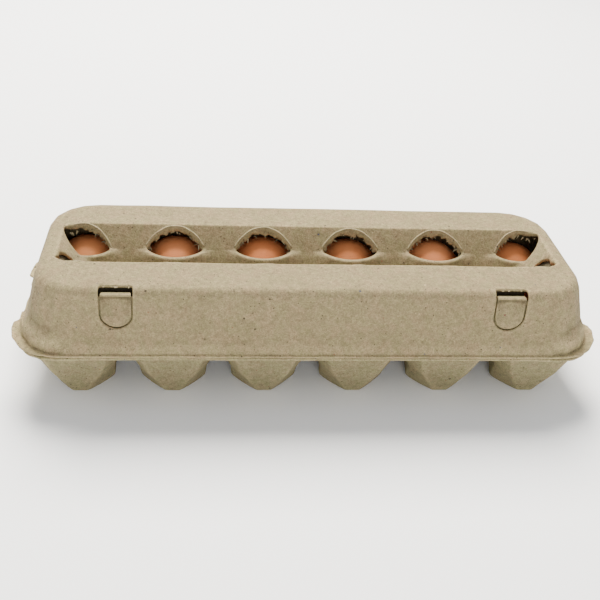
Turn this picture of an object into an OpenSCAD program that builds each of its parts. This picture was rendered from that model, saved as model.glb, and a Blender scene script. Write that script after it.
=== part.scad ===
// Egg carton for one dozen, moulded pulp, closed and holding its eggs.
// Lengths in millimetres. X runs along the carton, Y to the back, Z up. The feet stand on z = 0.

/* [Cells] */
// Eggs along the carton
cells = 6; // [4:1:6]
// Distance between eggs along the carton
pitch = 48.5; // [47:0.5:52]
// Distance between the two rows
row_pitch = 48.5; // [48:0.5:52]

/* [Pulp] */
// Thickness of the pulp
pulp = 1.8; // [1.4:0.1:2.2]
// Gap between pieces that move past each other
gap = 0.3; // [0.3:0.05:0.6]

/* [Tray] */
// Height of the tray's rim
rim_z = 32; // [30:0.5:36]
// Height of the posts under the lid's trough
post_z = 46.8; // [44:0.2:47]
// Height of the ridges between cups
ridge_z = 35.6; // [33:0.2:36]

/* [Lid] */
// Height of the closed carton
lid_z = 70.2; // [68:0.2:72]
// Rounding of the lid's shoulders
shoulder = 4.6; // [3:0.2:6]
// Half length of the lid just above its lip
lid_half_l = 149.5; // [148:0.5:152]
// Half width of the lid just above its lip
lid_half_w = 51; // [50.5:0.25:53]
// Half length of the lip
lip_half_l = 155; // [153:0.5:158]
// Half width of the lip
lip_half_w = 54; // [53:0.5:56]
// Floor of the trough between the two ridges
trough_z = 50; // [49:0.5:53]

/* [Windows] */
// Width of a window
window_w = 30.4; // [26:0.2:32]
// How far a window reaches up the trough's side
window_up = 7; // [6:0.5:7.5]
// How far a window reaches out over the trough
window_out = 9; // [7.5:0.5:9.5]
// Height of the rim of the bulge below a window
bulge_z = 59.2; // [58:0.2:61]
// How far the bulge spreads out towards the trough's floor
bulge_spread = 2; // [1:0.2:2.4]

/* [Lock] */
// Distance of a lock from the carton's middle
lock_x = 99.2; // [90:0.2:100]
// Width of a lock opening
lock_w = 16.4; // [14:0.2:18]
// Bottom of a lock opening
lock_z0 = 48; // [46:0.5:52]
// How far a lock opening reaches back over the lid's shoulder
lock_over = 5; // [4.8:0.2:6]
// Height of the flap at its locks
flap_z = 66.8; // [65:0.2:67]

/* [Eggs] */
// Widest radius of an egg
egg_r = 21.6; // [20:0.2:21.6]
// Height of an egg
egg_h = 58; // [54:0.5:58.5]
// Lowest point of an egg in its cup
egg_z = 2.2; // [2.2:0.1:3]

/* [Hidden] */
$fn = 48;
pulp_colour = [0.71, 0.67, 0.56];
egg_colour = [0.76, 0.46, 0.30];
steps = 4;                            // steps around one rounded corner
span = (cells - 1) / 2 * pitch;       // the outermost eggs' x
row_y = row_pitch / 2;
lip_t = 1.8;                          // thickness of lip and rim
lip_z = rim_z + gap;                  // underside of the lip
lid_foot_z = lip_z + lip_t;           // where the lid's wall leaves the lip
ridge_rise = 0.6;                     // from the shoulder to the trough's edge
wall_z = lid_z - ridge_rise - shoulder; // where the lid's wall turns into its shoulder
lean_l = 8.5 / 33;                    // lean of the lid's end walls
lean_w = 1.5 / 33;                    // lean of its front and back walls
trough_half_l = 115;
trough_half_w = 5.4;
brink_half_l = 132.6;                 // top edge of the trough
brink_half_w = 21.8;
fold_y = -48.2;                       // the flap turns about this line
fold_z = rim_z + 1.3;
flap_t = 1.3;
flap_lean = atan(lean_w);
button_t = 2.25;
hinge_y = lip_half_w - lip_t - gap / 2; // the lid turns about this line
hinge_z = rim_z + gap / 2;
hinge_half_l = 122;

// Outline of a rectangle with rounded corners, as [left, right, front, back] and one radius.
function outline(b, r) = [
  for (q = [0:3], i = [0:steps])
    let (a = 90 * q + 90 * i / steps, right = q == 0 || q == 3, back = q < 2)
    [(right ? b[1] - r : b[0] + r) + r * cos(a), (back ? b[3] - r : b[2] + r) + r * sin(a)]];

// Solid through a stack of outlines, each given as [height, points].
module loft(rings) {
  n = 4 * (steps + 1);
  last = len(rings) - 1;
  points = [for (g = rings) for (p = g[1]) [p[0], p[1], g[0]]];
  floor_face = [[for (i = [0:n - 1]) i]];
  roof_face = [[for (i = [0:n - 1]) last * n + n - 1 - i]];
  sides = [for (k = [0:last - 1], i = [0:n - 1], half = [0, 1])
    let (a = k * n + i, b = k * n + (i + 1) % n)
    half == 0 ? [a, a + n, b] : [b, a + n, b + n]];
  polyhedron(points = points, faces = concat(floor_face, roof_face, sides));
}

function centred(l, w) = [-l, l, -w, w];

// Where the corner v of a profile goes when the profile is thickened downwards by t,
// between a stretch sloping at a1 and one sloping at a2.
function thicken(v, a1, a2, t) =
  v + t / cos((a2 - a1) / 2) * [sin((a1 + a2) / 2), -cos((a1 + a2) / 2)];

// ---------------------------------------------------------------- tray

// Half widths of a cup against height: towards a neighbour, past the end of the carton, towards the
// other row, and towards the front or back of the carton.
next_side = [[0, 15], [2.4, 17.2], [12, 17.9], [16, 18.7], [20, 20.4], [24, 21.9], [28, 23.1], [32, 24.4], [36, 26.1], [60, 26.1]];
end_side = [[0, 14], [16, 20.6], [28, 26], [32, 28], [36, 29], [60, 29]];
row_side = [[0, 12.8], [16, 18.7], [20, 20.4], [24, 21.9], [28, 23.1], [32, 24.4], [36, 26.1], [60, 26.1]];
outer_side = [[0, 12.8], [16, 19.3], [32, 25.5], [36, 26.1], [60, 26.1]];
// Half widths of a cup's flat faces, between the slanting facets at its corners.
wide_face = [[0, 3.6], [16, 12.2], [30, 16.2], [32, 16], [36, 7], [60, 7]];
side_face = [[0, 0.3], [2.4, 0.5], [16, 9.5], [30, 15], [32, 14], [36, 7], [60, 7]];
end_face = [[0, 0.3], [2.4, 0.5], [16, 5], [32, 12], [36, 9], [60, 9]];
facet_bow = 0.06;                     // how far the facets at the corners bow out

function slope(side, z) = lookup(z + 0.1, side) - lookup(z, side);
function half(side, z, t) = lookup(z, side) - t * sqrt(1 + pow(10 * slope(side, z), 2));

// Slanting facet between two points of a cup's outline, bowed towards their corner c.
function facet(p, q, c) =
  let (m = (p + q) / 2 * (1 - 2 * facet_bow) + c * 2 * facet_bow)
  [for (i = [0:steps]) let (u = i / steps) (1 - u) * (1 - u) * p + 2 * u * (1 - u) * m + u * u * q];

// One level of the cup in column i; row is -1 at the front, 1 at the back; t thickens inwards.
function cup_ring(i, row, z, t) =
  let (
    left = -half(i == 0 ? end_side : next_side, z, t),
    right = half(i == cells - 1 ? end_side : next_side, z, t),
    front = -half(row < 0 ? outer_side : row_side, z, t),
    back = half(row > 0 ? outer_side : row_side, z, t),
    w = lookup(z, wide_face) - t / 2,
    l = max(0.2, lookup(z, i == 0 ? end_face : side_face) - t / 2),
    r = max(0.2, lookup(z, i == cells - 1 ? end_face : side_face) - t / 2),
    around = concat(
      facet([right, r], [w, back], [right, back]),
      facet([-w, back], [left, l], [left, back]),
      facet([left, -l], [-w, front], [left, front]),
      facet([w, front], [right, -r], [right, front])))
  [z, [for (p = around) p + [i * pitch - span, row * row_y]]];

module cup_outside(i, row) loft([for (z = [0, 2.4, 12, 16, 20, 24, 28, rim_z]) cup_ring(i, row, z, 0)]);
module cup_inside(i, row) loft([for (z = [pulp, pulp + 2.4, 12, 16, 20, 24, 28, rim_z, 36, 60]) cup_ring(i, row, z, pulp)]);

module posts(thin) {
  for (i = [1:cells - 1])
    translate([(i - cells / 2) * pitch, 0, 0])
      rotate_extrude($fn = 24) {
        polygon([[0, 26 - thin], [9.2 - thin, 26 - thin], [3.6 - thin, post_z - 1.5 - thin],
          [max(0.4, 2.4 - thin), post_z - thin], [0, post_z - thin]]);
      }
}

module tray_rim() {
  translate([0, 0, rim_z - lip_t])
    linear_extrude(lip_t)
      difference() {
        intersection() {
          polygon(outline(centred(lip_half_l - 2, lip_half_w - 1.2), 24));
          translate([-200, -200]) square([400, 200 + hinge_y]);
        }
        for (s = [-1, 1])
          translate([s * (lip_half_l + 4.2) - 8, -14]) square([16, 28]);
      }
}

module ridges() {
  loft([
    [rim_z - 1, outline(centred(span + 21, row_y + 21), 16)],
    [rim_z + 1, outline(centred(span + 19.5, row_y + 19.5), 16)],
    [ridge_z, outline(centred(span + 13, row_y + 13), 12)]]);
}

module tray() {
  color(pulp_colour)
    difference() {
      union() {
        for (i = [0:cells - 1], row = [-1, 1]) cup_outside(i, row);
        tray_rim();
        ridges();
        posts(0);
      }
      for (i = [0:cells - 1], row = [-1, 1]) cup_inside(i, row);
      posts(pulp);
    }
}

// Creased web along the front rim, carrying the flap.
module front_fold() {
  color(pulp_colour)
    translate([-118, fold_y - flap_t / 2, rim_z]) cube([236, flap_t, 1.1]);
}

// Creased web along the back, between the rim and the lid's lip.
module rear_hinge() {
  r = lip_t + gap / 2;
  color(pulp_colour)
    translate([-hinge_half_l, hinge_y, hinge_z])
      rotate([90, 0, 90])
        linear_extrude(2 * hinge_half_l)
          intersection() {
            difference() {
              circle(r);
              circle(gap);
            }
            translate([0, -r]) square([r, 2 * r]);
          }
}

// ---------------------------------------------------------------- lid

// One level of the lid's form: along the wall, at angle a around its shoulder, or at the trough's edge;
// t thickens inwards.
function wall_size(z, t) = [
  lid_half_l - lean_l * (z - lid_foot_z) - t,
  lid_half_w - lean_w * (z - lid_foot_z) - t,
  26 - t - 2 * (z - lid_foot_z) / (wall_z - lid_foot_z)];
function wall_ring(z, t) =
  let (g = wall_size(z, t)) [z, outline(centred(g[0], g[1]), g[2])];
function shoulder_ring(a, t) =
  let (rise = (shoulder - t) * sin(a), in = (shoulder - t) * (1 - cos(a)), g = wall_size(wall_z + rise, t))
  [wall_z + rise, outline(centred(g[0] - in, g[1] - in), g[2] - 0.9 * in)];
function ridge_ring(t) = [lid_z - t, outline(centred(brink_half_l - 4, brink_half_w - 4), 5)];

module lid_form(t) {
  loft(concat(
    [wall_ring(lip_z - (t > 0 ? 1 : 0), t)],
    [for (a = [0:15:90]) shoulder_ring(a, t)],
    [ridge_ring(t)]));
}

// The trough's hollow, or with t the hollow grown by the pulp's thickness.
module trough(t) {
  depth = lid_z - trough_z;
  steep_l = atan(depth / (brink_half_l - trough_half_l));
  steep_w = atan(depth / (brink_half_w - trough_half_w));
  floor_l = thicken([trough_half_l, trough_z], 0, steep_l, t);
  floor_w = thicken([trough_half_w, trough_z], 0, steep_w, t);
  rise = lid_z + 2 - floor_l[1];
  loft([
    [floor_l[1], outline(centred(floor_l[0], floor_w[0]), 3)],
    [lid_z + 2, outline(centred(floor_l[0] + rise / tan(steep_l), floor_w[0] + rise / tan(steep_w)), 8)]]);
}

// A window seen from above: middle of its chord, turn, half chord, and how far it bows up and out.
function window_at(i) =
  let (outermost = i == 0 || i == cells - 1, x = i * pitch - span, s = x < 0 ? -1 : 1)
  outermost
    ? [[x - s * 1.25, 14.8], s * 12, 12.4, 5.4, 10]
    : [[x, 13], 0, window_w / 2, window_up, window_out];
function bow_radius(c, sag) = (c * c + sag * sag) / (2 * sag);

// Form of the bulge below the window's outer arc, grown by t.
module bulge_form(t) {
  r = bow_radius($w[2], $w[4]);
  low = trough_z - 6;
  high = bulge_z - (trough_z - pulp);
  spread = bulge_spread * (bulge_z - low) / high;
  translate([0, r - $w[4], low])
    cylinder(h = bulge_z - low, r1 = r + t + spread, r2 = r + t);
}

module each_window() {
  for (i = [0:cells - 1], row = [0, 1])
    mirror([0, row == 0 ? 1 : 0, 0])
      translate([window_at(i)[0][0], window_at(i)[0][1], 0])
        rotate([0, 0, window_at(i)[1]]) {
          $w = window_at(i);
          children();
        }
}

module window_hole() {
  outer = bow_radius($w[2], $w[4]);
  upper = bow_radius($w[2], $w[3]);
  translate([0, 0, trough_z - 6])
    linear_extrude(lid_z - trough_z + 8)
      intersection() {
        translate([0, outer - $w[4]]) circle(outer);
        translate([0, $w[3] - upper]) circle(upper);
      }
  intersection() {
    bulge_form(0);
    translate([-30, -30, 0]) cube([60, 30, 100]);
  }
}

module window_bulge() {
  intersection() {
    bulge_form(pulp);
    translate([-30, -30, trough_z - pulp]) cube([60, 31, 100]);
  }
}

// The front corner windows are torn wider at their outer corners.
module corner_tear(s) {
  translate([s * (trough_half_l + 11.3), -9.6, trough_z - 6]) cylinder(r = 4.8, h = lid_z, $fn = 20);
}

// A lock opening's outline, shrunk by t.
module lock_shape(t) {
  r = lock_w / 2 - t;
  translate([0, lock_z0 + lock_w / 2]) circle(r);
  translate([-r, lock_z0 + lock_w / 2]) square([2 * r, lid_z + 2 - lock_z0 - lock_w / 2]);
}

module lip() {
  translate([0, 0, lip_z])
    linear_extrude(lip_t)
      difference() {
        intersection() {
          polygon(outline(centred(lip_half_l, lip_half_w), 24));
          translate([-200, -200]) square([400, 200 + hinge_y - gap]);
        }
        for (s = [-1, 1])
          translate([s * (lip_half_l + 4.2) - 8, -13]) square([16, 26]);
      }
}

module lid() {
  color(pulp_colour)
    difference() {
      union() {
        difference() {
          union() {
            lid_form(0);
            lip();
          }
          trough(0);
        }
        intersection() {
          each_window() window_bulge();
          trough(pulp);
        }
      }
      difference() {
        lid_form(pulp);
        trough(pulp);
      }
      each_window() window_hole();
      for (s = [-1, 1]) corner_tear(s);
      for (s = [-1, 1])
        translate([s * lock_x, lock_over - lid_half_w + lean_w * (wall_z - lid_foot_z), 0])
          rotate([90, 0, 0]) linear_extrude(14) lock_shape(0);
    }
}

// ---------------------------------------------------------------- lock

// Children stand on the fold line and lean back with the lid's wall.
module on_fold() {
  translate([0, fold_y, fold_z]) rotate([-flap_lean, 0, 0]) children();
}

module lock_flap() {
  h = flap_z - fold_z;
  mid = h - 2.4;
  low = h - 9;
  tab = lock_w / 2 - 0.8;
  color(pulp_colour)
    on_fold()
      translate([0, flap_t / 2, 0])
        rotate([90, 0, 0])
          linear_extrude(flap_t)
            polygon([[-117, 0.4], [117, 0.4], [120, 6],
              [lock_x + 15, mid], [lock_x + tab, mid], [lock_x + tab, h],
              [lock_x - tab, h], [lock_x - tab, mid], [lock_x - 15, mid], [lock_x - 24, low],
              [24 - lock_x, low], [15 - lock_x, mid], [tab - lock_x, mid], [tab - lock_x, h],
              [-lock_x - tab, h], [-lock_x - tab, mid], [-lock_x - 15, mid], [-120, 6]]);
}

// A knob of the flap that stands in a lock opening: ledge on top, thinning towards its foot.
module lock_button(s) {
  color(pulp_colour)
    on_fold()
      translate([s * lock_x, -flap_t / 2, 0])
        difference() {
          rotate([90, 0, 0])
            linear_extrude(button_t)
              translate([0, -fold_z])
                intersection() {
                  lock_shape(0.8);
                  translate([-20, 0]) square([40, flap_z]);
                }
          translate([-20, -button_t, 22]) rotate([-4.5, 0, 0]) translate([0, -5, -30]) cube([40, 5, 30]);
        }
}
module lock_button_left() lock_button(-1);
module lock_button_right() lock_button(1);

// ---------------------------------------------------------------- eggs

egg_steps = 28;
egg_blunt = 26.2;                     // from the widest place up to the blunt end
egg_point = egg_h - egg_blunt;        // and down to the pointed end

// Outline of an egg from its pointed end to its blunt end.
function egg_half(a) =
  let (s = sin(a), len = a < 0 ? egg_point : egg_blunt, slim = a < 0 ? 1 + 0.15 * s : 1)
  [egg_r * cos(a) * slim, len * s];

module egg(i, row) {
  color(egg_colour)
    translate([(i - 1) * pitch - span, row * row_y, egg_z + egg_point])
      rotate_extrude($fn = 64)
        polygon(concat([[0, -egg_point]],
          [for (k = [1:egg_steps - 1]) egg_half(-90 + 180 * k / egg_steps)], [[0, egg_blunt]]));
}

tray();
front_fold();
rear_hinge();
lid();
lock_flap();
lock_button_left();
lock_button_right();
egg(1, -1);  // egg_front_1
egg(2, -1);  // egg_front_2
egg(3, -1);  // egg_front_3
egg(4, -1);  // egg_front_4
egg(5, -1);  // egg_front_5
egg(6, -1);  // egg_front_6
egg(1, 1);  // egg_back_1
egg(2, 1);  // egg_back_2
egg(3, 1);  // egg_back_3
egg(4, 1);  // egg_back_4
egg(5, 1);  // egg_back_5
egg(6, 1);  // egg_back_6
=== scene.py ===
"""Looks of the moulded-pulp egg carton: soft pulp shells with torn window edges, and brown eggs."""

import math

from collections import namedtuple

import bmesh
import bpy
import numpy as np
from mathutils import Matrix, Vector, noise


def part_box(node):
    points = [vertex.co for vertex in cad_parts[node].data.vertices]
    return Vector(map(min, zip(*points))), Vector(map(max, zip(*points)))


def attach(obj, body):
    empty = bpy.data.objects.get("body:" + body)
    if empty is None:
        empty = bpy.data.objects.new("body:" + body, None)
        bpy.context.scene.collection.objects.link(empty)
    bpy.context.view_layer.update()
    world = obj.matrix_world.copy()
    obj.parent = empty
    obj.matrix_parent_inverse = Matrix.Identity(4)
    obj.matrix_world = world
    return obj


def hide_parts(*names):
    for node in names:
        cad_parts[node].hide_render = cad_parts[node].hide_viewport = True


MM = 0.001

# Pulp shells
VOXEL = 0.7 * MM            # grain of the remeshed shells
SHELL_FACES = 190_000       # triangles kept in a shell
PULP = 1.8 * MM             # thickness of the pulp

# Carton layout, as in the CAD frame
PITCH = 48.5 * MM
CELLS = 6
SPAN = (CELLS - 1) / 2 * PITCH
CORNER = (122 * MM, 25 * MM)            # centres of the rounded corners in plan
INSIDE = (118 * MM, 40 * MM)            # places past these lie on the outer walls
LIP_HALF_L = 155 * MM
LIP_NECK = 150.4 * MM       # the lip's half length where it leaves the end wall
LIP_MID_Z = 33.2 * MM       # middle of the lip's thickness
WALL_FOOT_Z = 34.3 * MM     # where the lid's wall leaves the lip
EAR_Y = 24 * MM             # an ear's end, from the middle of the carton
CUPS_TOP_Z = 29.5 * MM

# Trough of the lid, as in the CAD frame
TROUGH_Z = 50 * MM
TROUGH_HALF_L = 115 * MM
TROUGH_HALF_W = 5.4 * MM
SLOPE_L = 20.2 / 17.6       # rise of its ends and of its sides
SLOPE_W = 20.2 / 16.4
TROUGH_MID_Z = 47 * MM      # below it nothing belongs to the trough
BAND = PULP * math.hypot(1, SLOPE_W)    # upright height of the pulp cut through at a window

# Windows of the trough and the bulges below them, as in the CAD frame
WINDOW_Y = 13 * MM          # middle of the chord
WINDOW_HALF = 15.2 * MM
WINDOW_UP = 7 * MM          # height of its upper arc, and of the lower one in the bulge
WINDOW_OUT = 9 * MM
END_WINDOW_IN = 1.25 * MM   # the end windows lie nearer the middle, turned and smaller
END_WINDOW_Y = 14.8 * MM
END_WINDOW_TURN = math.radians(12)
END_WINDOW_HALF = 12.4 * MM
END_WINDOW_UP = 5.4 * MM
END_WINDOW_OUT = 10 * MM
BULGE_Z = 59.2 * MM
BULGE_SPREAD = 3.6 * MM     # reach of a bulge's soft foot

# Locks, as in the CAD frame
LOCK_X = 99.2 * MM
LOCK_HALF = 8.2 * MM
LEDGE_Z = 66.8 * MM         # top of the lock buttons

# Camera
YAW = math.radians(6.93)    # the carton's left end is nearer
RISE = math.radians(30.99)
ROLL = math.radians(-4.08)
DISTANCE = 0.5157
FOCAL = 55.356              # millimetres, on a sensor of this width
SENSOR = 36
SHIFT = (-0.010167, 0.001167)
AIM_Z = 34.7 * MM

Arc = namedtuple("Arc", "x y turn half up out row")

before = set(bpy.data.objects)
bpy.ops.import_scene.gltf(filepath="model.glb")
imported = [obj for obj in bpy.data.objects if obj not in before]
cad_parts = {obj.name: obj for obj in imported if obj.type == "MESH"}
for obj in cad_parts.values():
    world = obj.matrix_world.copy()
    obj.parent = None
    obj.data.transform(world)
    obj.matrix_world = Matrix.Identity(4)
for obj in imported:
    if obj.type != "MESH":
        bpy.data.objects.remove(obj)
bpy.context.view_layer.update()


# ---------------------------------------------------------------- mesh tools


def mesh_arrays(mesh):
    """Vertex places, edges and vertex normals of a mesh as arrays."""
    places = np.empty(len(mesh.vertices) * 3, np.float32)
    mesh.vertices.foreach_get("co", places)
    edges = np.empty(len(mesh.edges) * 2, np.int32)
    mesh.edges.foreach_get("vertices", edges)
    normals = np.empty(len(mesh.vertices) * 3, np.float32)
    mesh.vertices.foreach_get("normal", normals)
    places = places.reshape(-1, 3).astype(float)
    return places, edges.reshape(-1, 2), normals.reshape(-1, 3).astype(float)


def store(mesh, places):
    """Writes vertex places back into a mesh."""
    mesh.vertices.foreach_set("co", places.astype(np.float32).ravel())
    mesh.update()


def relax(places, edges, weight, rounds):
    """Moves each vertex towards its neighbours' mean, as far as its weight says."""
    count = len(places)
    a, b = edges[:, 0], edges[:, 1]
    degree = np.maximum(np.bincount(a, minlength=count) + np.bincount(b, minlength=count), 1)
    for _ in range(rounds):
        total = np.empty_like(places)
        for k in range(3):
            total[:, k] = np.bincount(a, places[b, k], count) + np.bincount(b, places[a, k], count)
        places = places + (total / degree[:, None] - places) * weight[:, None]
    return places


def wobble(places, size, seed):
    """Smooth noise from -1 to 1 at each place, with bumps about size metres across."""
    shift = Vector((seed * 7.31, seed * 3.17, seed * 5.77))
    return np.array([noise.noise(Vector(p) / size + shift) for p in places])


def within_box(places, *nodes):
    """Keeps places inside the box around CAD nodes."""
    boxes = [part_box(node) for node in nodes]
    low = np.min([tuple(b[0]) for b in boxes], axis=0)
    high = np.max([tuple(b[1]) for b in boxes], axis=0)
    return np.clip(places, low + 0.01 * MM, high - 0.01 * MM)


def outward(places):
    """Way out of the carton's rounded outline at each place, and how much of a corner the place is."""
    beyond = np.maximum(np.abs(places[:, :2]) - np.array(CORNER), 1e-6)
    far = np.hypot(beyond[:, 0], beyond[:, 1])
    ways = np.sign(places[:, :2]) * beyond / far[:, None]
    return ways, np.minimum(1, 2 * beyond.min(axis=1) / far)


def on_outer_walls(places):
    return (np.abs(places[:, 0]) > INSIDE[0]) | (np.abs(places[:, 1]) > INSIDE[1])


def window_arcs():
    """Each window of the trough: middle of its chord, turn, half chord, heights of its two arcs, row."""
    arcs = []
    for column in range(CELLS):
        x = column * PITCH - SPAN
        side = -1 if x < 0 else 1
        for row in (1, -1):
            if column in (0, CELLS - 1):
                arc = Arc(x - side * END_WINDOW_IN, END_WINDOW_Y, side * END_WINDOW_TURN,
                          END_WINDOW_HALF, END_WINDOW_UP, END_WINDOW_OUT, row)
            else:
                arc = Arc(x, WINDOW_Y, 0.0, WINDOW_HALF, WINDOW_UP, WINDOW_OUT, row)
            arcs.append(arc)
    return arcs


def arc_radius(half, high):
    """Radius of an arc from half its chord and its height."""
    return (half * half + high * high) / (2 * high)


def arc_point(arc, share):
    """Point on a window's upper edge; share runs from -1 to 1 along it. Also its outward direction."""
    radius = arc_radius(arc.half, arc.up)
    angle = share * math.asin(min(1.0, arc.half / radius))
    px = radius * math.sin(angle)
    py = arc.up - radius + radius * math.cos(angle)
    cos, sin = math.cos(arc.turn), math.sin(arc.turn)
    ox, oy = math.sin(angle), math.cos(angle)
    place = Vector((arc.x + px * cos - py * sin, arc.row * (arc.y + px * sin + py * cos), 0))
    return place, Vector((ox * cos - oy * sin, arc.row * (ox * sin + oy * cos), 0))


def along_chord(arc, places):
    """Each place seen from the middle of a window's chord: along the chord, and away from the trough."""
    cos, sin = math.cos(arc.turn), math.sin(arc.turn)
    dx = places[:, 0] - arc.x
    dy = arc.row * places[:, 1] - arc.y
    return dx * cos + dy * sin, dy * cos - dx * sin


def bulge_lift(places):
    """Share of the bulges' height reached at each place outside a window's lower edge."""
    lift = np.zeros(len(places))
    for arc in window_arcs():
        radius = arc_radius(arc.half, arc.out)
        lx, ly = along_chord(arc, places)
        far = np.hypot(lx, ly - radius + arc.out) - radius - PULP
        share = 0.9 * np.exp(-(np.maximum(far, 0) / BULGE_SPREAD) ** 2)
        share = share * np.clip((4 * MM - ly) / (4 * MM), 0, 1)
        share[far < -PULP - 0.6 * MM] = 0
        near = (arc.row * places[:, 1] > -1 * MM) & (places[:, 2] > TROUGH_MID_Z)
        lift = np.maximum(lift, share * near)
    return lift


def trough_height(x, y):
    """Height of the trough's inner faces over a place."""
    along = TROUGH_Z + (np.abs(x) - TROUGH_HALF_L) * SLOPE_L
    across = TROUGH_Z + (np.abs(y) - TROUGH_HALF_W) * SLOPE_W
    return np.maximum(np.maximum(along, across), TROUGH_Z)


def beyond_arcs(places):
    """Distance in plan of each place outside the nearest upper window edge, and its way out."""
    best = np.full(len(places), 1.0)
    ways = np.zeros((len(places), 2))
    for arc in window_arcs():
        radius = arc_radius(arc.half, arc.up)
        cos, sin = math.cos(arc.turn), math.sin(arc.turn)
        lx, above = along_chord(arc, places)
        ly = above + radius - arc.up
        far = np.hypot(lx, ly)
        off = far - radius
        beside = (above > -1.2 * MM) & (np.abs(lx) < arc.half + 1.5 * MM)
        on = beside & (np.abs(off) < np.abs(best))
        best[on] = off[on]
        far = np.maximum(far, 1e-6)
        ways[on, 0] = ((lx * cos - ly * sin) / far)[on]
        ways[on, 1] = (arc.row * (lx * sin + ly * cos) / far)[on]
    return best, ways


def marked_edges(obj, painted_light=None):
    """Stores how far each place stands out from its surroundings, above 0.5, or lies back, below it. From
    this the pulp material paints shade into hollows and creases and makes raised edges lighter. An optional
    function adds more: painted shade where it is positive, painted highlight where it is negative.
    """
    places, edges, normals = mesh_arrays(obj.data)
    soft = relax(places, edges, np.full(len(places), 0.5), 9)
    out = np.einsum("ij,ij->i", places - soft, normals) / (0.9 * MM)
    if painted_light:
        out = out - painted_light(places)
    attribute = obj.data.attributes.new("painted_shade_and_edge_light", "FLOAT", "POINT")
    attribute.data.foreach_set("value", (0.5 + np.clip(out, -0.5, 0.5)).astype(np.float32))


def applied(obj, kind, **settings):
    """Adds a modifier and applies it."""
    modifier = obj.modifiers.new(kind.lower(), kind)
    for key, value in settings.items():
        setattr(modifier, key, value)
    bpy.context.view_layer.update()
    evaluated = obj.evaluated_get(bpy.context.evaluated_depsgraph_get())
    mesh = bpy.data.meshes.new_from_object(evaluated)
    obj.modifiers.clear()
    old = obj.data
    obj.data = mesh
    bpy.data.meshes.remove(old)
    return obj


def linked(name, mesh):
    obj = bpy.data.objects.new(name, mesh)
    bpy.context.scene.collection.objects.link(obj)
    return obj


def smooth_shaded(mesh):
    mesh.polygons.foreach_set("use_smooth", [True] * len(mesh.polygons))
    mesh.update()


def pulp_shell(node, name, body, material, voxel=VOXEL, faces=SHELL_FACES, rounds=3,
               shape=None, painted_light=None):
    """A soft copy of a CAD shell: remeshed, rounded and reshaped by shape(places, edges, normals), with
    marks for painted shade and highlight.
    """
    obj = linked(name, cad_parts[node].data.copy())
    obj.data.materials.clear()
    applied(obj, "REMESH", mode="VOXEL", voxel_size=voxel, adaptivity=0.0)
    places, edges, normals = mesh_arrays(obj.data)
    places = relax(places, edges, np.full(len(places), 0.5), rounds)
    if shape:
        places = shape(places, edges, normals)
    store(obj.data, places)
    triangles = 2 * len(obj.data.polygons)
    if triangles > faces:
        applied(obj, "DECIMATE", ratio=faces / triangles)
    places, _, _ = mesh_arrays(obj.data)
    store(obj.data, within_box(places, node))
    marked_edges(obj, painted_light)
    smooth_shaded(obj.data)
    obj.data.materials.append(material)
    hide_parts(node)
    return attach(obj, body)


# ---------------------------------------------------------------- materials


class Nodes:
    """Short ways to build a node material."""

    def __init__(self, name):
        self.material = bpy.data.materials.new(name)
        self.material.use_nodes = True
        self.tree = self.material.node_tree
        self.shader = self.tree.nodes["Principled BSDF"]
        self.place = self.tree.nodes.new("ShaderNodeTexCoord").outputs["Object"]

    def link(self, source, target):
        self.tree.links.new(source, target)

    def mapped(self, scale=(1, 1, 1), turn=(0, 0, 0)):
        node = self.tree.nodes.new("ShaderNodeMapping")
        node.inputs["Scale"].default_value = scale
        node.inputs["Rotation"].default_value = turn
        self.link(self.place, node.inputs["Vector"])
        return node.outputs["Vector"]

    def noise(self, scale, detail=4.0, rough=0.6, at=None):
        node = self.tree.nodes.new("ShaderNodeTexNoise")
        node.inputs["Scale"].default_value = scale
        node.inputs["Detail"].default_value = detail
        node.inputs["Roughness"].default_value = rough
        self.link(at or self.place, node.inputs["Vector"])
        return node.outputs["Fac"]

    def cells(self, scale, at=None):
        node = self.tree.nodes.new("ShaderNodeTexVoronoi")
        node.inputs["Scale"].default_value = scale
        self.link(at or self.place, node.inputs["Vector"])
        return node.outputs["Distance"], node.outputs["Color"]

    def ramp(self, source, stops):
        """Grey value or colour by stops of (place, value)."""
        node = self.tree.nodes.new("ShaderNodeValToRGB")
        ends = node.color_ramp.elements
        while len(ends) < len(stops):
            ends.new(0.5)
        for element, (at, value) in zip(ends, stops):
            element.position = at
            element.color = (value, value, value, 1) if isinstance(value, (int, float)) else (*value, 1)
        self.link(source, node.inputs["Fac"])
        return node.outputs["Color"]

    def mix(self, share, first, second, kind="MIX"):
        node = self.tree.nodes.new("ShaderNodeMix")
        node.data_type = "RGBA"
        node.blend_type = kind
        for socket, value in ((node.inputs[0], share), (node.inputs[6], first), (node.inputs[7], second)):
            if isinstance(value, bpy.types.NodeSocket):
                self.link(value, socket)
            elif isinstance(value, (int, float)):
                socket.default_value = value
            else:
                socket.default_value = (*value, 1)
        return node.outputs[2]

    def maths(self, kind, first, second=0.0):
        node = self.tree.nodes.new("ShaderNodeMath")
        node.operation = kind
        for socket, value in ((node.inputs[0], first), (node.inputs[1], second)):
            if isinstance(value, bpy.types.NodeSocket):
                self.link(value, socket)
            else:
                socket.default_value = value
        return node.outputs[0]

    def bump(self, height, depth, strength=1.0, onto=None):
        node = self.tree.nodes.new("ShaderNodeBump")
        node.inputs["Strength"].default_value = strength
        node.inputs["Distance"].default_value = depth
        self.link(height, node.inputs["Height"])
        if onto:
            self.link(onto, node.inputs["Normal"])
        return node.outputs["Normal"]


def scaled(colour, by):
    return tuple(min(1.0, c * by) for c in colour)


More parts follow.
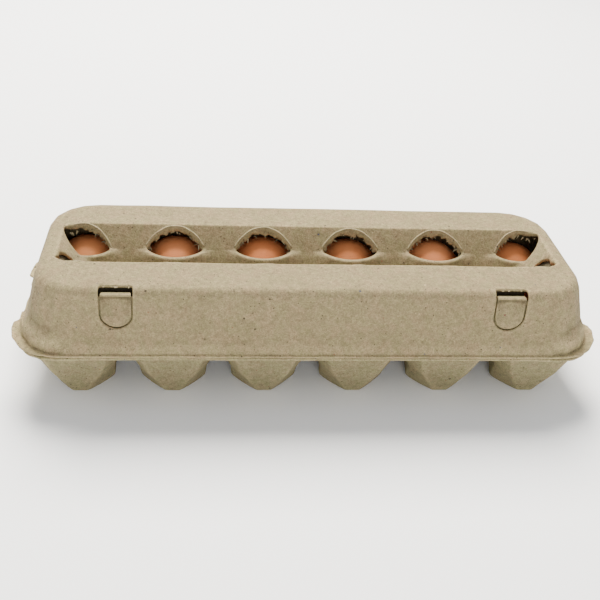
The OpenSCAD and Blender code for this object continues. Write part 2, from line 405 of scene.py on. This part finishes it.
THREADS = (                 # turn and scale of a pattern of fibres, and their shade of the pulp
    ((0.5, 0.2, 0.7), 190, 1.4),
    ((0.1, 0.9, 2.3), 230, 0.55),
    ((1.3, 0.4, 0.1), 300, 0.6),
)
FLECKS = (                  # scale of a pattern of flecks, share of it left empty, and strength
    (520, 0.80, 0.85),
    (300, 0.95, 0.9),
)
DARK_FLECK = (0.022, 0.018, 0.014)
BLUE_FLECK = (0.03, 0.04, 0.075)
RED_FLECK = (0.17, 0.04, 0.025)


def mottled(n, base, dark, seed, turned):
    """The pulp's own colour: darker patches, and a breath of green and of pink."""
    patches = n.noise(55, 4, 0.6, turned)
    tint = n.noise(140, 3, 0.6, n.mapped(turn=(0.3, seed, 1.1)))
    colour = n.mix(n.ramp(patches, [(0.3, 0.0), (0.7, 1.0)]), dark, base)
    green = (base[0] * 0.82, base[1] * 0.97, base[2] * 0.80)
    pink = (base[0] * 1.06, base[1] * 0.88, base[2] * 0.94)
    colour = n.mix(n.ramp(tint, [(0.32, 0.0), (0.42, 0.32), (0.49, 0.0)]), colour, green)
    return n.mix(n.ramp(tint, [(0.53, 0.0), (0.62, 0.30), (0.72, 0.0)]), colour, pink)


def threaded(n, colour, base):
    """Broken fibres, some lighter and some darker than the pulp."""
    for turn, scale, shade in THREADS:
        wander = n.noise(scale, 1, 0.5, n.mapped(turn=turn))
        thread = n.ramp(wander, [(0.492, 0.0), (0.5, 1.0), (0.508, 0.0)])
        breaks = n.noise(90, 2, 0.5, n.mapped(turn=(turn[1], turn[2], turn[0])))
        broken = n.ramp(breaks, [(0.50, 0.0), (0.56, 0.5)])
        colour = n.mix(n.maths("MULTIPLY", thread, broken), colour, scaled(base, shade))
    return colour


def flecked(n, colour, base, seed):
    """Ragged flecks: mostly dark, a few blue, red or pale."""
    for scale, keep, strength in FLECKS:
        distance, random = n.cells(scale, n.mapped(turn=(scale, seed, 0.2)))
        channels = n.tree.nodes.new("ShaderNodeSeparateColor")
        n.link(random, channels.inputs["Color"])
        ragged = n.maths("ADD", distance, n.maths("MULTIPLY", n.noise(1400, 2, 0.6), 0.25))
        dot = n.ramp(ragged, [(0.26, 1.0), (0.34, 0.0)])
        rare = n.ramp(channels.outputs["Red"], [(keep, 0.0), (keep + 0.02, 1.0)])
        kind = channels.outputs["Green"]
        fleck = n.mix(n.ramp(kind, [(0.80, 0.0), (0.81, 1.0)]), DARK_FLECK, BLUE_FLECK)
        fleck = n.mix(n.ramp(kind, [(0.84, 0.0), (0.85, 1.0)]), fleck, RED_FLECK)
        fleck = n.mix(n.ramp(kind, [(0.88, 0.0), (0.89, 1.0)]), fleck, scaled(base, 1.6))
        colour = n.mix(n.maths("MULTIPLY", dot, n.maths("MULTIPLY", rare, strength)), colour, fleck)
    return colour


def pulp_material(name, base, dark, seed=0.0, painted_shade_and_edge_light=True):
    """Recycled moulded pulp: mottled grey-beige with fibres, dark flecks and a few coloured ones."""
    n = Nodes(name)
    turned = n.mapped(turn=(seed, 0.4 + seed, 0.2))
    colour = mottled(n, base, dark, seed, turned)
    grain = n.noise(1450, 5, 0.8)
    colour = n.mix(1.0, colour, n.ramp(grain, [(0.3, 0.50), (0.5, 0.97), (0.7, 1.42)]), "MULTIPLY")
    felt = n.noise(420, 4, 0.7, turned)
    colour = n.mix(1.0, colour, n.ramp(felt, [(0.3, 0.74), (0.5, 0.98), (0.7, 1.22)]), "MULTIPLY")
    colour = threaded(n, colour, base)
    colour = flecked(n, colour, base, seed)
    # Painted shade: darker in hollows and creases, and lighter on raised edges, from the marks stored by
    # marked_edges
    if painted_shade_and_edge_light:
        mark = n.tree.nodes.new("ShaderNodeAttribute")
        mark.attribute_name = "painted_shade_and_edge_light"
        edge = n.ramp(mark.outputs["Fac"], [(0.0, 0.50), (0.45, 0.98), (0.55, 1.0), (0.9, 1.35)])
        colour = n.mix(1.0, colour, edge, "MULTIPLY")
    n.link(colour, n.shader.inputs["Base Color"])
    n.link(n.ramp(grain, [(0.2, 0.86), (0.8, 0.98)]), n.shader.inputs["Roughness"])
    n.shader.inputs["Specular IOR Level"].default_value = 0.25
    lumps = n.bump(n.noise(260, 4, 0.6), 0.9 * MM, 0.4)
    lumps = n.bump(felt, 0.5 * MM, 0.4, lumps)
    n.link(n.bump(grain, 0.4 * MM, 0.6, lumps), n.shader.inputs["Normal"])
    return n.material


def egg_material(name, base, spot, seed):
    """Brown eggshell: faint mottling, tiny pores and a dull sheen."""
    n = Nodes(name)
    turned = n.mapped(turn=(seed, seed * 1.7, seed * 0.6))
    patches = n.noise(70, 3, 0.6, turned)
    colour = n.mix(n.ramp(patches, [(0.35, 0.0), (0.7, 1.0)]), spot, base)
    distance, _ = n.cells(1300, turned)
    dots = n.maths("MULTIPLY", n.ramp(distance, [(0.1, 1.0), (0.3, 0.0)]), 0.18)
    colour = n.mix(dots, colour, (0.30, 0.11, 0.05))
    n.link(colour, n.shader.inputs["Base Color"])
    pores = n.noise(1500, 3, 0.6)
    n.link(n.ramp(patches, [(0.3, 0.74), (0.7, 0.84)]), n.shader.inputs["Roughness"])
    n.shader.inputs["Specular IOR Level"].default_value = 0.22
    n.link(n.bump(pores, 0.12 * MM, 0.4), n.shader.inputs["Normal"])
    return n.material


PULP_TOP = pulp_material("pulp_lid", (0.249, 0.195, 0.103), (0.219, 0.172, 0.089))
PULP_TRAY = pulp_material("pulp_tray", (0.235, 0.196, 0.104), (0.205, 0.173, 0.090), 1.3)
# Dark pulp for the sheets behind the openings: painted shade
PULP_PAINTED_SHADE = pulp_material("pulp_painted_shade", (0.115, 0.092, 0.052), (0.09, 0.072, 0.042), 3.3, painted_shade_and_edge_light=False)
PULP_TORN = pulp_material("pulp_torn", (0.33, 0.27, 0.155), (0.27, 0.22, 0.125), 2.1, painted_shade_and_edge_light=False)
PULP_CREASE = pulp_material("pulp_crease", (0.235, 0.196, 0.104), (0.205, 0.173, 0.090), 0.7, painted_shade_and_edge_light=False)
EGG_LOOKS = [
    egg_material("eggshell_1", (0.74, 0.255, 0.088), (0.66, 0.210, 0.070), 0.3),
    egg_material("eggshell_2", (0.70, 0.262, 0.096), (0.61, 0.205, 0.070), 1.1),
    egg_material("eggshell_3", (0.77, 0.290, 0.112), (0.69, 0.235, 0.084), 2.4),
]


# ---------------------------------------------------------------- shells


def ramped(values, start, end):
    """0 up to the start, 1 from the end on, and straight between them."""
    return np.clip((values - start) / (end - start), 0, 1)


def short_ears(places):
    """Narrows the lip along an end, so that its two ears stand out at the corners only."""
    away = ramped(np.abs(places[:, 0]), LIP_NECK, LIP_HALF_L)
    flat = ramped(np.abs(places[:, 1]), EAR_Y, EAR_Y - 1.2 * MM)
    lip = (places[:, 2] > 28 * MM) & (places[:, 2] < 38 * MM)
    places[:, 0] -= np.sign(places[:, 0]) * away * flat * lip * 3.0 * MM
    return places


def flared_foot(places, edges, corner, ways):
    """Lets the lid's wall run out into the lip, most of all at the two front corners."""
    z = places[:, 2]
    flare = 1.9 * MM * (1 - ramped(z, WALL_FOOT_Z, WALL_FOOT_Z + 9 * MM)) ** 2
    fold = 2.4 * MM * corner * ramped(z, 46 * MM, 41 * MM) * (places[:, 1] < 0)
    push = np.maximum(flare, fold) * on_outer_walls(places) * ramped(z, 33.5 * MM, 35 * MM)
    places[:, :2] += ways * push[:, None]
    foot = np.clip(1 - np.abs(z - 35.5 * MM) / (3.5 * MM), 0, 1)
    return relax(places, edges, 0.5 * foot, 8)


def soft_bulges(places, edges):
    """Raises the pulp around the bulges and rounds their feet."""
    places[:, 2] += bulge_lift(places) * np.clip(BULGE_Z - places[:, 2], 0, 12 * MM)
    z = places[:, 2]
    trough = (np.abs(places[:, 1]) < 17 * MM) & (np.abs(places[:, 0]) < 132 * MM) & (z > TROUGH_MID_Z)
    return relax(places, edges, 0.6 * ramped(z, 58.6 * MM, 57.1 * MM) * trough, 20)


def torn_windows(places, beyond, ways):
    """Tears the cut edges of the windows' upper arcs and raises a bead along them."""
    height = trough_height(places[:, 0], places[:, 1])
    z = places[:, 2]
    edge = (np.abs(beyond - 0.4 * MM) < 2.2 * MM) & (z > height - BAND - 1.5 * MM) & (z < height + 2 * MM)
    near = np.flatnonzero(edge)
    tear = np.zeros(len(places))
    fine = np.zeros(len(places))
    tear[near] = wobble(places[near], 4 * MM, 5)
    fine[near] = wobble(places[near], 1.6 * MM, 6)
    bead = np.exp(-((beyond / MM - 0.3) / 0.9) ** 2) * edge
    low = np.clip((height - z) / (BAND * 0.6) - 0.4, 0, 1) * edge
    places[:, :2] -= ways * (low * np.clip(1.1 * tear + 0.8 * fine, -0.3, 1.4) * MM)[:, None]
    places[:, 2] -= low * (1.1 * tear + 0.7 * fine) * MM
    places[:, 2] += bead * (1 - low) * (0.45 + 0.15 * tear) * MM


def frayed_lip(places, corner, ways):
    """Makes the lip uneven and bites its edge a little in front of the windows."""
    lip = np.clip(1 - np.abs(places[:, 2] - LIP_MID_Z) / (1.8 * MM), 0, 1)
    frayed = np.flatnonzero(lip > 0)
    fray = wobble(places[frayed], 3.2 * MM, 7) * 0.35 + wobble(places[frayed], 1.3 * MM, 10) * 0.35
    places[frayed, 2] += lip[frayed] * fray * MM
    rough = 0.25 + 0.9 * corner[frayed]
    bite = np.maximum(0, wobble(places[frayed], 2.4 * MM, 12) + 0.1) * rough
    places[frayed, :2] -= ways[frayed] * (lip[frayed] * bite * MM)[:, None]


def curled_ears(places):
    ear = ramped(np.abs(places[:, 0]), 143 * MM, 153 * MM) * (places[:, 2] < 37 * MM)
    curled = np.flatnonzero(ear > 0)
    curl = 1.0 + 0.9 * wobble(places[curled], 7 * MM, 8)
    places[curled, 2] += ear[curled] * curl * 1.3 * MM


def lid_shape(places, edges, normals):
    """Softens the lid, tears its window edges and gives it the slight unevenness of pulp."""
    places = short_ears(places)
    ways, corner = outward(places)
    places = flared_foot(places, edges, corner, ways)
    places = soft_bulges(places, edges)
    drift = wobble(places, 38 * MM, 1) * 0.22 * MM + wobble(places, 9 * MM, 2) * 0.07 * MM
    places = places + normals * drift[:, None]
    beyond, ways = beyond_arcs(places)
    torn_windows(places, beyond, ways)
    frayed_lip(places, corner, ways)
    curled_ears(places)
    return places


def tray_shape(places, edges, normals):
    """Softens the cups' facets a little, gives the tray its unevenness and lets its front corners sag."""
    places = short_ears(places)
    z = places[:, 2]
    places = relax(places, edges, 0.5 * ramped(z, CUPS_TOP_Z, CUPS_TOP_Z - 3 * MM), 1)
    drift = wobble(places, 30 * MM, 3) * 0.20 * MM + wobble(places, 8 * MM, 4) * 0.08 * MM
    drift[z < 1.5 * MM] = 0
    places = places + normals * drift[:, None]
    sag = ramped(np.abs(places[:, 0]), 112 * MM, 137 * MM) * ramped(-places[:, 1], 40 * MM, 46 * MM)
    sag = sag * (places[:, 2] > 29 * MM)
    hanging = np.flatnonzero(sag > 0)
    places[hanging, 2] -= sag[hanging] * (0.9 + 0.8 * wobble(places[hanging], 6 * MM, 9)) * MM
    return places


def button_shape(places, edges, normals):
    """Hollows the button's face below its ledge."""
    from_middle = np.abs(np.abs(places[:, 0]) - LOCK_X)
    depth = ramped(places[:, 2], LEDGE_Z - 0.7 * MM, LEDGE_Z - 1.2 * MM)
    fade = ramped(places[:, 2], 54 * MM, 63 * MM)
    face = ramped(-places[:, 1], 47.6 * MM, 48.4 * MM)
    side = ramped(from_middle, LOCK_HALF - 0.8 * MM, LOCK_HALF - 2.4 * MM)
    places[:, 1] += depth * fade * face * (0.35 + 0.65 * side) * 1.8 * MM
    return places


def button_painted_shade(places):
    """Painted shade on the button: darker in the corners under its ledge and in a line right below it."""
    x = np.abs(np.abs(places[:, 0]) - LOCK_X) / LOCK_HALF
    z = (LEDGE_Z - places[:, 2]) / MM
    line = np.exp(-((z - 2.3) / 0.7) ** 2)
    corners = np.clip(1 - z / 7, 0, 1) * np.clip(x * 1.5 - 0.3, 0, 1) * (z > 1.5)
    return 0.9 * line + 0.6 * corners


def lid_painted_light(places):
    """Painted light on the lid: less painted shade where its wall runs into its lip, and a painted
    highlight on the flared front corners.
    """
    _, corner = outward(places)
    z = places[:, 2] / MM
    crease = np.clip(1.4 - np.abs(z - 36) / 3.5, 0, 1) * on_outer_walls(places)
    corner_highlight = corner * np.clip(1 - np.abs(z - 41) / 4, 0, 1) * (places[:, 1] < 0)
    return -0.3 * crease - 0.35 * corner_highlight


def ribbon(verts, faces, path, wide, thick, across, taper=0.75):
    """Adds a thin strip along a path, narrowing to its end, to a list of vertices and faces."""
    first = len(verts)
    last = len(path) - 1
    for k, point in enumerate(path):
        share = 1 - taper * k / last
        ahead = (path[min(k + 1, last)] - path[max(k - 1, 0)]).normalized()
        side = (across - ahead * across.dot(ahead)).normalized() * wide / 2 * share
        up = side.cross(ahead).normalized() * thick / 2 * share
        verts += [point - side - up, point + side - up, point + side + up, point - side + up]
    for k in range(last):
        a = first + 4 * k
        faces += [(a + i, a + (i + 1) % 4, a + 4 + (i + 1) % 4, a + 4 + i) for i in range(4)]
    faces.append((first + 3, first + 2, first + 1, first))
    faces.append(tuple(first + 4 * last + i for i in range(4)))


def strips(name, verts, faces, material, smooth=False):
    """Makes a piece of the lid from a list of vertices and faces."""
    mesh = bpy.data.meshes.new(name)
    mesh.from_pydata(within_box(np.array([tuple(v) for v in verts]), "lid").tolist(), [], faces)
    mesh.update()
    if smooth:
        smooth_shaded(mesh)
    obj = linked(name, mesh)
    obj.data.materials.append(material)
    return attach(obj, "lid")


def torn_shreds():
    """Shreds of pulp left hanging along the torn upper edges of the windows."""
    chance = np.random.default_rng(11)
    verts, faces = [], []
    for arc in window_arcs():
        for _ in range(13):
            place, out = arc_point(arc, chance.uniform(-0.95, 0.95))
            top = float(trough_height(place.x, place.y))
            drop = BAND * chance.uniform(0.55, 1.0)
            place = place + out * 0.6 * MM + Vector((0, 0, top - drop))
            along = Vector((-out.y, out.x, 0)) * chance.uniform(-0.8, 0.8)
            inward = -out * chance.uniform(0.3, 0.9)
            length = chance.uniform(1.0, 2.8) * MM
            sink = chance.uniform(0.2, 0.8)
            path = []
            for k in range(6):
                t = k / 5
                path.append(place + ((inward + along) * t + Vector((0, 0, -t * t * sink))) * length)
            across = Vector((-out.y, out.x, 0.5 * chance.uniform(-1, 1)))
            wide = chance.uniform(0.4, 1.5) * MM
            thick = chance.uniform(0.2, 0.4) * MM
            ribbon(verts, faces, path, wide, thick, across)
    strips("torn_shreds", verts, faces, PULP_TORN)


def window_rims():
    """Thin raised beads that follow the upper edges of the windows."""
    verts, faces = [], []
    for arc in window_arcs():
        path = []
        for k in range(41):
            place, out = arc_point(arc, -0.98 + 1.96 * k / 40)
            place = place + out * 1.0 * MM
            rise = 0.08 + 0.12 * math.sin(k * 0.7 + arc.x * 300)
            path.append(place + Vector((0, 0, float(trough_height(place.x, place.y)) + rise * MM)))
        ribbon(verts, faces, path, 0.7 * MM, 0.9 * MM, Vector((0.05, 1, 0.4 * arc.row)), taper=0)
    strips("window_rims", verts, faces, PULP_TORN, smooth=True)


def painted_shade_tabs():
    """Painted shade: dark pulp sheets hanging behind the lock openings and the corner tears, so that these
    read as dark holes.
    """
    verts, faces = [], []
    run, rise = 17.6, 19.7      # slant of the tabs in the corner tears
    for side in (-1, 1):
        top = Vector((side * LOCK_X, -37.0 * MM, 68.2 * MM))
        path = [top + Vector((0, -0.25, -1.7)) * k * MM for k in range(6)]
        ribbon(verts, faces, path, 2.5 * LOCK_HALF, 0.7 * MM, Vector((1, 0, 0)), taper=0.05)
        front = Vector((side * 127.6 * MM, -11 * MM, 60.3 * MM))
        path = [front + Vector((0, 3.5, 0)) * k * MM for k in range(5)]
        ribbon(verts, faces, path, 15 * MM, 0.7 * MM, Vector((side * run, 0, rise)), taper=0)
    strips("painted_shade_tabs", verts, faces, PULP_PAINTED_SHADE)


def lock_fibres():
    """Fibres along the torn upper edges of the lock openings."""
    chance = np.random.default_rng(5)
    verts, faces = [], []
    for side in (-1, 1):
        for _ in range(24):
            start = side * LOCK_X + chance.uniform(-0.95, 0.95) * LOCK_HALF
            lean = chance.uniform(-0.5, 0.5)
            length = chance.uniform(0.8, 2.2) * MM
            root = Vector((start, -43.1 * MM, 69.0 * MM))
            path = [root + Vector((lean * t, -t, -0.3 * t * t)) * length for t in (0, 0.3, 0.6, 1)]
            wide = chance.uniform(0.5, 2.2) * MM
            ribbon(verts, faces, path, wide, 0.3 * MM, Vector((1, 0, 0)), taper=0.5)
    strips("lock_fibres", verts, faces, PULP_TORN)


def lock_buttons():
    for side in ("left", "right"):
        pulp_shell("lock_button_" + side, "button_" + side, "lock_flap", PULP_TOP, voxel=0.3 * MM,
                   faces=30_000, shape=button_shape, painted_light=button_painted_shade)


def creases():
    """The two bending webs of pulp keep their CAD shape."""
    for name in ("rear_hinge", "front_fold"):
        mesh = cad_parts[name].data
        mesh.materials.clear()
        mesh.materials.append(PULP_CREASE)


pulp_shell("lid", "lid_shell", "lid", PULP_TOP, shape=lid_shape, painted_light=lid_painted_light)
torn_shreds()
window_rims()
painted_shade_tabs()
lock_fibres()
pulp_shell("tray", "tray_shell", "tray", PULP_TRAY, rounds=2, shape=tray_shape)
pulp_shell("lock_flap", "flap_panel", "lock_flap", PULP_TRAY, voxel=0.5 * MM, faces=60_000)
lock_buttons()


# ---------------------------------------------------------------- eggs


EGG_BLUNT = 26.2 / 58       # share of an egg's height above its widest place
SMALL_EGG = "egg_back_6"
SMALLER = 0.04              # by how much that egg is smaller


def egg_mesh(name, low, high, swell, seed):
    """An egg between two corners of its CAD box, standing on its pointed end."""
    centre = (low + high) / 2
    radius = (high.x - low.x) / 2 * swell
    blunt = EGG_BLUNT * (high.z - low.z)
    point = (high.z - low.z) - blunt
    mesh = bpy.data.meshes.new(name)
    shape = bmesh.new()
    bmesh.ops.create_uvsphere(shape, u_segments=72, v_segments=48, radius=1)
    for v in shape.verts:
        s = v.co.z
        slim = 1 + 0.15 * s if s < 0 else 1
        v.co.x *= radius * slim
        v.co.y *= radius * slim
        v.co.z *= (point if s < 0 else blunt) * swell
        v.co *= 1 + 0.002 * noise.noise(v.co / (18 * MM) + Vector((seed, 0, 0)))
    shape.to_mesh(mesh)
    shape.free()
    mesh.transform(Matrix.Translation((centre.x, centre.y, low.z + point)))
    smooth_shaded(mesh)
    return mesh


def eggs():
    """Twelve eggs, each a little different in size and colour."""
    for row in ("front", "back"):
        for column in range(1, CELLS + 1):
            node = f"egg_{row}_{column}"
            name = node + "_shell"
            seed = column + (CELLS if row == "back" else 0)
            low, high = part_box(node)
            swell = 0.985 + 0.012 * math.sin(seed * 2.3) - (SMALLER if node == SMALL_EGG else 0)
            egg = linked(name, egg_mesh(name, low, high, swell, seed))
            egg.data.materials.append(EGG_LOOKS[seed % len(EGG_LOOKS)])
            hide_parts(node)
            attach(egg, node)


eggs()
creases()


# ---------------------------------------------------------------- stage


def floor():
    """A plain, nearly white floor."""
    mesh = bpy.data.meshes.new("floor")
    half = 3.0
    corners = [(-half, -half, 0), (half, -half, 0), (half, half, 0), (-half, half, 0)]
    mesh.from_pydata(corners, [], [(0, 1, 2, 3)])
    obj = linked("floor", mesh)
    n = Nodes("floor_paint")
    n.shader.inputs["Base Color"].default_value = (0.99, 0.99, 0.99, 1)
    n.shader.inputs["Roughness"].default_value = 0.9
    mesh.materials.append(n.material)


def area_light(name, place, target, size, power, colour=(1, 1, 1)):
    data = bpy.data.lights.new(name, "AREA")
    data.size = size
    data.energy = power
    data.color = colour
    obj = bpy.data.objects.new(name, data)
    bpy.context.scene.collection.objects.link(obj)
    obj.location = place
    obj.rotation_euler = (Vector(target) - Vector(place)).to_track_quat("-Z", "Y").to_euler()


def studio():
    """Soft light from all around, brighter where the camera sees it, with two large lamps."""
    world = bpy.data.worlds.new("studio")
    world.use_nodes = True
    tree = world.node_tree
    back = tree.nodes["Background"]
    back.inputs["Color"].default_value = (0.97, 1.0, 1.05, 1)
    back.inputs["Strength"].default_value = 0.68
    seen = tree.nodes.new("ShaderNodeBackground")
    seen.inputs["Color"].default_value = (1, 1, 1, 1)
    seen.inputs["Strength"].default_value = 2.0
    rays = tree.nodes.new("ShaderNodeLightPath")
    both = tree.nodes.new("ShaderNodeMixShader")
    tree.links.new(rays.outputs["Is Camera Ray"], both.inputs[0])
    tree.links.new(back.outputs[0], both.inputs[1])
    tree.links.new(seen.outputs[0], both.inputs[2])
    tree.links.new(both.outputs[0], tree.nodes["World Output"].inputs["Surface"])
    bpy.context.scene.world = world
    area_light("key", (-0.1, 0.9, 1.4), (0, 0, 0.04), 1.0, 120, (1.0, 0.965, 0.89))
    area_light("front", (0.05, -1.6, 0.4), (0, 0, 0.04), 0.8, 15)


def camera():
    """Looks at the carton from the front and above, turned and rolled as measured."""
    ahead = Vector((math.sin(YAW), math.cos(YAW), 0))
    right = Vector((math.cos(YAW), -math.sin(YAW), 0))
    rise = ahead * math.sin(RISE) + Vector((0, 0, math.cos(RISE)))
    view = ahead * math.cos(RISE) - Vector((0, 0, math.sin(RISE)))
    side = right * math.cos(ROLL) - rise * math.sin(ROLL)
    top = right * math.sin(ROLL) + rise * math.cos(ROLL)
    data = bpy.data.cameras.new("camera")
    data.lens = FOCAL
    data.sensor_width = SENSOR
    data.shift_x, data.shift_y = SHIFT
    data.clip_start = 0.01
    obj = bpy.data.objects.new("camera", data)
    bpy.context.scene.collection.objects.link(obj)
    turn = Matrix((side, top, -view)).transposed().to_4x4()
    obj.matrix_world = Matrix.Translation(Vector((0, 0, AIM_Z)) - view * DISTANCE) @ turn
    bpy.context.scene.camera = obj


floor()
studio()
camera()
